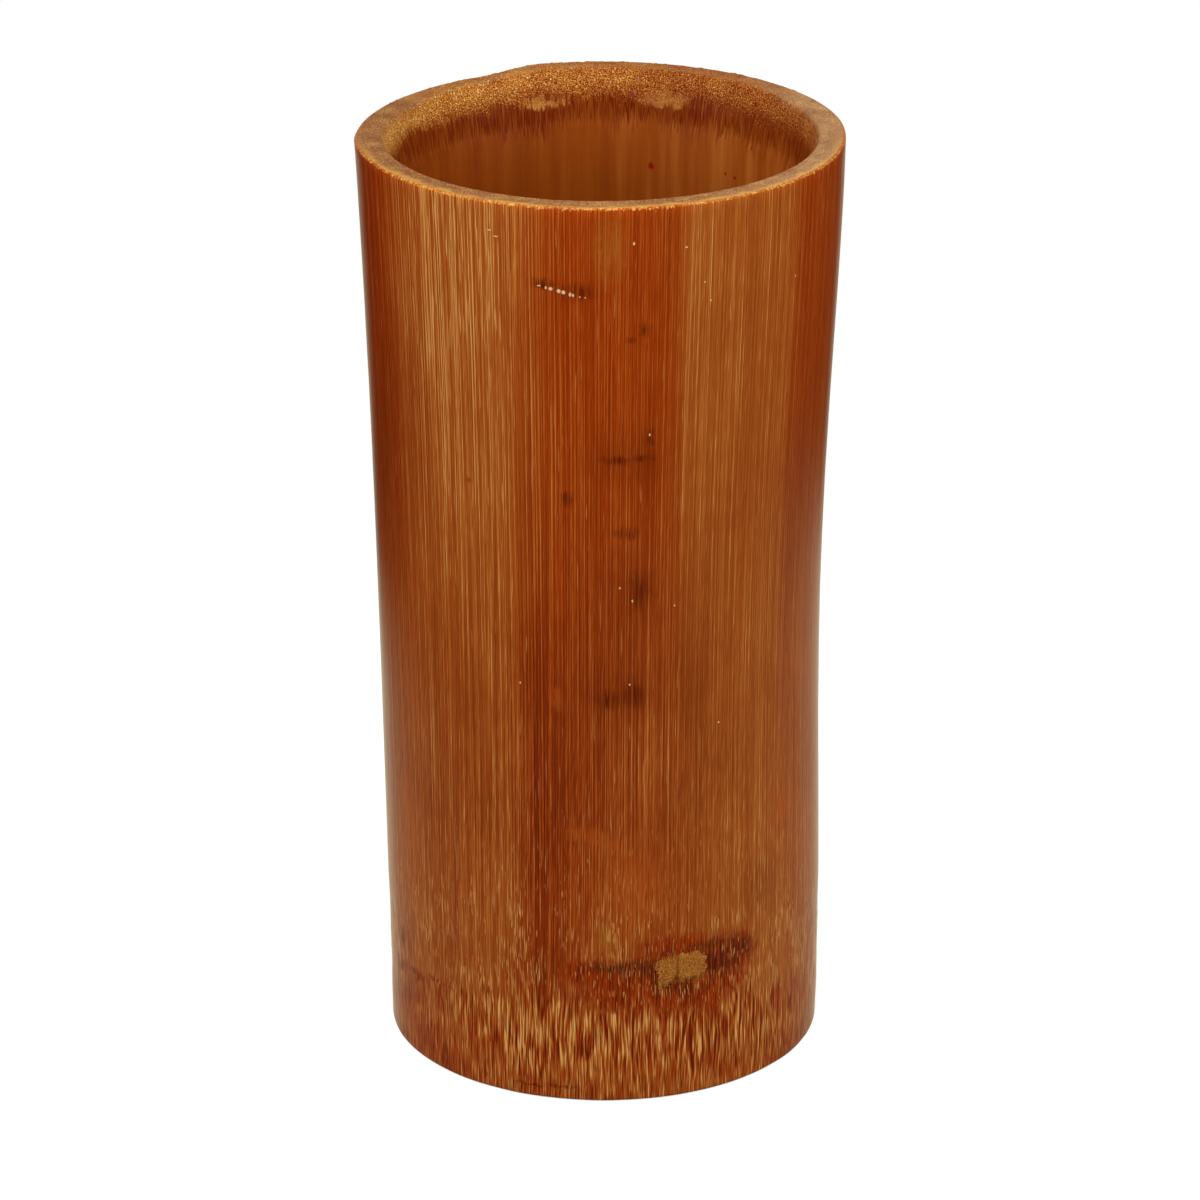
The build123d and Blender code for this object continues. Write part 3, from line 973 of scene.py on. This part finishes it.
def skin_material(colours):
    """The outside of the culm: stained skin under lacquer, worn to gold along the rim. The lacquer is a thin
    coat that shows at the edges of a form more than face on."""
    material, graph = blank("Stained skin")
    space = CulmSpace(graph)
    colour, relief = skin_finish(graph, space, colours)
    colour, relief = node_finish(graph, space, colours, colour, relief)
    colour = skin_marks(graph, space, colours, colour)
    flake = graph.noise(space.grains(0.5, 0.8), 3.0)
    front = graph.smooth(space.y, 10.0, -30.0)
    worn = graph.smooth(space.run + (flake - 0.5) * 3.2, -1.1, -0.4) * (0.2 + front * 0.8)
    gold = graph.ramp(flake, [(0.34, colours.brown), (0.50, colours.tan), (0.66, colours.gold)])
    colour = graph.mix(worn * 0.9, colour, gold)
    shade(graph, {
        "Base Color": colour,
        "Roughness": 0.5 + worn * 0.2 + (relief - 0.5) * 0.15,
        "Normal": graph.bump(relief, 0.3, 0.0002),
        "Specular IOR Level": 0.01,
        "Coat Weight": 0.75 - worn * 0.6,
        "Coat Roughness": 0.14,
        "Coat IOR": 1.14,
    })
    return material


def lip_finish(graph, space, colours):
    """Sawn end grain of the lip: dull brown ground with fine pores, browner towards the mouth, and paler to
    the right as painted light.
    """
    reach, lot = graph.cells(space.grains(0.5))
    grit = graph.noise(space.grains(0.34), 3.0, 0.65)
    blotch = graph.noise(space.grains(5.0), 2.0)
    ground = graph.ramp(grit * 0.75 + blotch * 0.25, [
        (0.30, colours.dark), (0.50, colours.lip), (0.75, colours.cream)])
    pores = graph.smooth(reach, 0.45, 0.2) * graph.smooth(lot, 0.45, 0.8)
    inner = graph.smooth(space.run, 1.0, 5.0)
    colour = graph.mix(pores * (0.25 + inner * 0.3), ground, colours.dark)
    front = graph.smooth(space.y, 10.0, -30.0)
    worn = graph.smooth(space.run + (grit - 0.5) * 4.0 + (blotch - 0.5) * 6.0, 1.2, 0.0) * front
    colour = graph.mix(worn * 0.5, colour, colours.gold)
    # Paler towards the right of the lip: painted light
    dust_and_side_light = graph.smooth(space.x, 10.0, 48.0) * (0.3 + blotch * 0.7)
    colour = graph.mix(dust_and_side_light * 0.17, colour, colours.nick)
    return colour, grit * 0.7 + (1 - pores) * 0.3


def mouth_finish(graph, space, colours, patches):
    """Pared slope: golden ground, stippled deep orange between the cut bundle ends, with painted light that
    makes it paler to the left, and pale dots that are partly cut fibre ends, partly painted glints.
    """
    stipple = graph.noise(space.grains(0.25), 1.0, 0.6)
    blotch = graph.noise(space.grains(5.0), 2.0)
    # Paler to the left: painted light
    pale = -space.x / space.radius
    deep = graph.smooth(space.run, 7.5, 11.5)
    rough = 1.7 - patches * 0.7
    light = (stipple - 0.5) * rough + (blotch - 0.5) * 0.3 + pale * 0.11 + patches * 0.16 - deep * 0.14 + 0.60
    colour = graph.ramp(light, [
        (0.30, colours.dark), (0.54, colours.cavity), (0.71, colours.mouth), (1.0, colours.gold)])
    # Pale dots, most of them to the left and high on the slope: partly pale cut fibre ends, partly painted
    # glints
    reach, lot = graph.cells(space.grains(0.55))
    ends = graph.smooth(reach, 0.42, 0.22) * graph.smooth(lot, 0.80, 0.86) * (0.6 + pale * 0.4) * (1 - deep)
    colour = graph.mix(ends * 0.8, colour, colours.nick)
    return graph.mix(patches * 0.18, colour, colours.cream), stipple + ends * 0.5


def cavity_finish(graph, space, colours):
    """Natural inside under lacquer: amber with soft upright blotches, lighter to the right as painted light,
    dark streaks under the pared slope.
    """
    blotch = graph.noise(space.fibres(4.0, 60), 3.0)
    grain = graph.noise(space.fibres(0.6, 16), 2.0)
    # Lighter towards the right of the inside: painted light
    light = blotch * 0.6 + grain * 0.15 + space.x / space.radius * 0.13 + 0.11
    amber = graph.ramp(light, [(0.0, colours.dark), (0.50, colours.cavity), (0.90, colours.tan)])
    strand = graph.noise(space.fibres(0.5, 9.0), 0.0)
    hair = graph.noise(space.fibres(0.24, 6.0), 0.0)
    wander = graph.noise(space.fibres(16, 400), 2.0)
    end = 16.8 + (strand - 0.5) * 10.0 + (hair - 0.5) * 10.0 + (wander - 0.5) * 8.0
    streaky = graph.smooth(space.run, end + 0.8, end - 0.6)
    streaks = graph.ramp(hair * 0.7 + strand * 0.3, [
        (0.43, colours.dark), (0.66, colours.cavity), (0.82, colours.brown)])
    colour = graph.mix(streaky, amber, streaks)
    specks = spots(graph, space, RED_SPECKS, 0.6, 0.4)
    return graph.mix(specks, colour, colours.speck), grain * 0.4 + streaky * hair * 0.6


def sole_finish(graph, space, colours):
    """Sawn foot and the dry stub inside it: end grain with bundle dots, and dust-covered brown fibre."""
    reach, lot = graph.cells(space.grains(0.8))
    grit = graph.noise(space.grains(0.35), 3.0)
    dots = graph.smooth(reach, 0.46, 0.24) * (0.4 + lot * 0.6)
    ground = graph.ramp(grit, [(0.3, colours.brown), (0.5, colours.tan), (0.7, colours.lip)])
    sole = graph.mix(dots * 0.8, ground, colours.dark)
    dust_and_side_light = graph.noise(space.fibres(1.0, 14), 3.0)
    stub = graph.ramp(dust_and_side_light, [(0.3, colours.brown), (0.52, colours.tan), (0.75, colours.cream)])
    upright = graph.smooth(space.z, 0.25, 0.7)
    return graph.mix(upright, sole, stub), grit * 0.5 + (1 - dots) * 0.5


def cut_material(colours):
    """All that the saw and the knife opened: lip, pared mouth, cavity and foot."""
    material, graph = blank("Cut bamboo")
    space = CulmSpace(graph)
    flake = graph.noise(space.grains(1.0), 3.0)
    lip, lip_height = lip_finish(graph, space, colours)
    patches = spots(graph, space, MOUTH_PATCHES, 3.0, 0.8)
    mouth, mouth_height = mouth_finish(graph, space, colours, patches)
    rounded = graph.smooth(space.y, 20.0, 44.0)
    pared = graph.smooth(space.run + (flake - 0.5) * 2.4 + rounded * 3.0, *LIP_END)
    colour = graph.mix(graph.most(pared, rounded * 0.8), lip, mouth)
    cavity, cavity_height = cavity_finish(graph, space, colours)
    tooth = graph.noise(space.fibres(0.5, 5.0), 1.0)
    wander = graph.noise(space.fibres(14, 400), 2.0)
    ragged = (tooth - 0.5) * 5.0 + (wander - 0.5) * 6.0 - patches * 3.0
    inside = graph.smooth(space.run + ragged, *MOUTH_END)
    colour = graph.mix(inside, colour, cavity)
    sole, sole_height = sole_finish(graph, space, colours)
    under = graph.smooth(space.run, -1.0, -2.0)
    colour = graph.mix(under, colour, sole)

    height = (lip_height * (1 - pared) + mouth_height * pared * 1.8) * (1 - inside) + cavity_height * inside
    height = height * (1 - under) + sole_height * under
    dry = (1 - pared) * (1 - under)
    shade(graph, {
        "Base Color": colour,
        "Roughness": 0.32 + dry * 0.45 + inside * 0.1 + under * 0.5,
        "Normal": graph.bump(height, 0.45, 0.00025),
        "Specular IOR Level": 0.05,
    })
    return material


def floor_material(colours):
    """The node floor: papery, wrinkled skin under thin lacquer, darker towards the wall."""
    material, graph = blank("Node floor")
    space = CulmSpace(graph)
    rays = floor_rays(graph, space)
    mottle = graph.noise(space.grains(3.0), 4.0, 0.6)
    specks, lot = graph.cells(space.grains(0.9))
    tone = rays * 0.4 + mottle * 0.6
    colour = graph.ramp(tone, [
        (0.30, colours.dark), (0.45, colours.cavity), (0.62, colours.tan), (0.8, colours.cream)])
    rim = graph.smooth(space.radius, 24.0, 33.0)
    colour = graph.mix(rim * 0.6, colour, colours.cavity)
    dots = graph.smooth(specks, 0.4, 0.2) * graph.smooth(lot, 0.7, 0.85)
    colour = graph.mix(dots * 0.7, colour, colours.dark)
    shade(graph, {
        "Base Color": colour,
        "Roughness": 0.45 + mottle * 0.25,
        "Normal": graph.bump(tone, 0.4, 0.0004),
        "Specular IOR Level": 0.25,
    })
    return material


def bud_material(colours):
    """Dry, corky bud tissue: sandy grains with dark pits."""
    material, graph = blank("Bud scar")
    space = CulmSpace(graph)
    grit = graph.noise(space.grains(0.30), 3.0, 0.6)
    reach, lot = graph.cells(space.grains(0.5))
    pits = graph.smooth(reach, 0.4, 0.15) * graph.smooth(lot, 0.6, 0.8)
    colour = graph.ramp(grit, [
        (0.23, colours.dark), (0.39, colours.brown), (0.52, colours.bud), (0.80, colours.cream)])
    blotch = graph.noise(space.grains(1.8), 2.0)
    colour = graph.mix(graph.smooth(blotch, 0.48, 0.32) * 0.5, colour, colours.brown)
    colour = graph.mix(pits * 0.8, colour, colours.dark)
    shade(graph, {
        "Base Color": colour,
        "Roughness": 0.65 + grit * 0.2,
        "Normal": graph.bump(grit - pits * 0.4, 0.6, 0.0003),
        "Specular IOR Level": 0.1,
    })
    return material


# The backdrop as the camera sees it, and as the lacquer mirrors it
WHITE = (1.0, 1.0, 1.0)
WARM_WHITE = (1.0, 0.95, 0.66)
WARM_LEVEL = 0.9


def table_material(reach):
    """Pale table that fades out at its border. The camera sees it white, apart from the cup's shadow."""
    material, graph = blank("Table")
    place = graph.make("ShaderNodeTexCoord", None, None, "Object")
    away = graph.length(graph.vector_math("SUBTRACT", place, (0.05, 0.0, 0.0)))
    plain = graph.make("ShaderNodeBsdfDiffuse", None, {"Color": (0.2, 0.2, 0.2)})
    shaded = graph.make("ShaderNodeBsdfDiffuse", None, {"Color": (0.5, 0.5, 0.5)})
    glow = graph.make("ShaderNodeEmission", None, {"Color": WHITE, "Strength": 0.6})
    pale = graph.make("ShaderNodeAddShader", None, {0: shaded, 1: glow})
    warm = graph.make("ShaderNodeEmission", None, {"Color": WARM_WHITE, "Strength": WARM_LEVEL})
    camera, glossy = graph.rays("Camera", "Glossy")
    behind = graph.smooth(graph.split(place)[1], -0.12, 0.05)
    lit = graph.make("ShaderNodeMixShader", None, {0: glossy * behind, 1: plain, 2: warm})
    top = graph.make("ShaderNodeMixShader", None, {0: camera, 1: lit, 2: pale})
    clear = graph.make("ShaderNodeBsdfTransparent")
    fade = graph.smooth(away, reach * 0.65, reach)
    both = graph.make("ShaderNodeMixShader", None, {0: fade, 1: top, 2: clear})
    graph.node("ShaderNodeOutputMaterial", None, {"Surface": both})
    return material


# Operators

class BAMBOO_OT_culm_wall(bpy.types.Operator):
    """Turn the wall of the culm and finish it"""

    bl_idname = "bamboo.culm_wall"
    bl_label = "Culm wall"

    def execute(self, context):
        sizes = context.scene.bamboo_culm
        colours = context.scene.bamboo_colours
        turning = Turning("Turned culm", wall_relief)
        wall = turning.turn("wall", wall_profile(sizes), sizes.columns, sizes.seed,
                            skin_material(colours), cut_material(colours))
        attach(wall, "root")
        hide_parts("culm_wall")
        return {"FINISHED"}


class BAMBOO_OT_node_floor(bpy.types.Operator):
    """Turn the wrinkled floor of the node"""

    bl_idname = "bamboo.node_floor"
    bl_label = "Node floor"

    def execute(self, context):
        sizes = context.scene.bamboo_floor
        turning = Turning("Turned floor", floor_relief)
        finish = floor_material(context.scene.bamboo_colours)
        floor = turning.turn("floor", floor_profile(sizes), sizes.columns, sizes.seed, finish, finish)
        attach(floor, "root")
        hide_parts("node_floor")
        return {"FINISHED"}


class BAMBOO_OT_bud_scar(bpy.types.Operator):
    """Fill the bud's pocket with its two dry halves"""

    bl_idname = "bamboo.bud_scar"
    bl_label = "Bud scar"

    def execute(self, context):
        finish = bud_material(context.scene.bamboo_colours)
        for side in BUD_BOXES:
            half = bud_half(side, finish)
            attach(half, "root")
            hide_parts("bud_scar_" + side)
        return {"FINISHED"}


# Places of the soft lamps and the sizes of their squares, in metres
KEY_PLACE = (0.0, -0.40, 0.70)
KEY_SIZE = 0.5
SIDE_PLACE = (0.55, -0.30, 0.50)
SIDE_SIZE = 0.4


class BAMBOO_OT_stage(bpy.types.Operator):
    """Set up the table, the room light, the lamps and the camera"""

    bl_idname = "bamboo.stage"
    bl_label = "Stage"

    def execute(self, context):
        settings = context.scene.bamboo_stage
        self.table(settings)
        self.room(context.scene, settings)
        self.lamp("Key", KEY_PLACE, KEY_SIZE, settings.key_power)
        for name, sign in (("Left", -1), ("Right", 1)):
            self.lamp(name, (sign * SIDE_PLACE[0], *SIDE_PLACE[1:]), SIDE_SIZE, settings.side_power)
        self.camera(context.scene, settings)
        context.scene.view_settings.view_transform = "Standard"
        return {"FINISHED"}

    def table(self, settings):
        work = bmesh.new()
        bmesh.ops.create_circle(work, cap_ends=True, radius=settings.table_reach * 1.2, segments=96)
        mesh = bpy.data.meshes.new("table")
        work.to_mesh(mesh)
        work.free()
        mesh.materials.append(table_material(settings.table_reach))
        table = added("table", mesh)

    def room(self, scene, settings):
        world = bpy.data.worlds.new("Room")
        scene.world = world
        graph = emptied(world)
        _, back, up = graph.split(graph.make("ShaderNodeTexCoord", None, None, "Generated"))
        camera, glossy, clear = graph.rays("Camera", "Glossy", "Transmission")
        above = graph.smooth(up, -0.04, 0.06)
        high_back = graph.smooth(back, -0.2, 0.35) * above
        low_back = graph.smooth(back, 0.82, 0.94) * (1 - above) * 0.6
        backdrop = high_back + low_back
        level = (0.12 + 0.88 * graph.smooth(up, -0.1, 0.25)) * (1 - 0.9 * glossy) * settings.room
        light = graph.make("ShaderNodeBackground", None, {"Color": WHITE, "Strength": level})
        warm = graph.make("ShaderNodeBackground", None, {"Color": WARM_WHITE, "Strength": WARM_LEVEL})
        white = graph.make("ShaderNodeBackground", None, {"Color": WHITE, "Strength": 1.0})
        lit = graph.make("ShaderNodeMixShader", None, {0: glossy * backdrop, 1: light, 2: warm})
        both = graph.make("ShaderNodeMixShader", None, {0: graph.most(camera, clear), 1: lit, 2: white})
        graph.node("ShaderNodeOutputWorld", None, {"Surface": both})

    def lamp(self, name, place, size, power):
        light = bpy.data.lights.new(name, "AREA")
        light.size = size
        light.energy = power
        lamp = added(name, light)
        lamp.location = place
        aim = Vector((0.0, 0.0, HEIGHT / 2)) - lamp.location
        lamp.rotation_euler = aim.to_track_quat("-Z", "Y").to_euler()

    def camera(self, scene, settings):
        data = bpy.data.cameras.new("Camera")
        data.lens = settings.lens
        data.sensor_width = 36.0
        data.clip_start = 0.01
        camera = added("Camera", data)
        camera.location = (0.0, -settings.distance * math.cos(settings.elevation),
                           HEIGHT / 2 + settings.distance * math.sin(settings.elevation))
        camera.rotation_euler = (math.pi / 2 - settings.elevation - settings.dip, 0.0, 0.0)
        scene.camera = camera


class BAMBOO_PT_cup(bpy.types.Panel):
    """Lists the pieces of the cup"""

    bl_label = "Bamboo cup"
    bl_idname = "BAMBOO_PT_cup"
    bl_space_type = "VIEW_3D"
    bl_region_type = "UI"
    bl_category = "Bamboo cup"

    def draw(self, context):
        for operator in OPERATORS:
            self.layout.operator(operator.bl_idname)


OPERATORS = (BAMBOO_OT_culm_wall, BAMBOO_OT_node_floor, BAMBOO_OT_bud_scar, BAMBOO_OT_stage)
GROUPS = {
    "bamboo_culm": CulmSizes,
    "bamboo_floor": FloorSizes,
    "bamboo_colours": Colours,
    "bamboo_stage": StageSettings,
}


def register():
    for name, group in GROUPS.items():
        bpy.utils.register_class(group)
        setattr(bpy.types.Scene, name, PointerProperty(type=group))
    for cls in (*OPERATORS, BAMBOO_PT_cup):
        bpy.utils.register_class(cls)


def unregister():
    for cls in reversed((*OPERATORS, BAMBOO_PT_cup)):
        bpy.utils.unregister_class(cls)
    for name, group in GROUPS.items():
        delattr(bpy.types.Scene, name)
        bpy.utils.unregister_class(group)


def main():
    register()
    bpy.ops.bamboo.culm_wall()
    bpy.ops.bamboo.node_floor()
    bpy.ops.bamboo.bud_scar()
    bpy.ops.bamboo.stage()


if __name__ == "__main__":
    main()
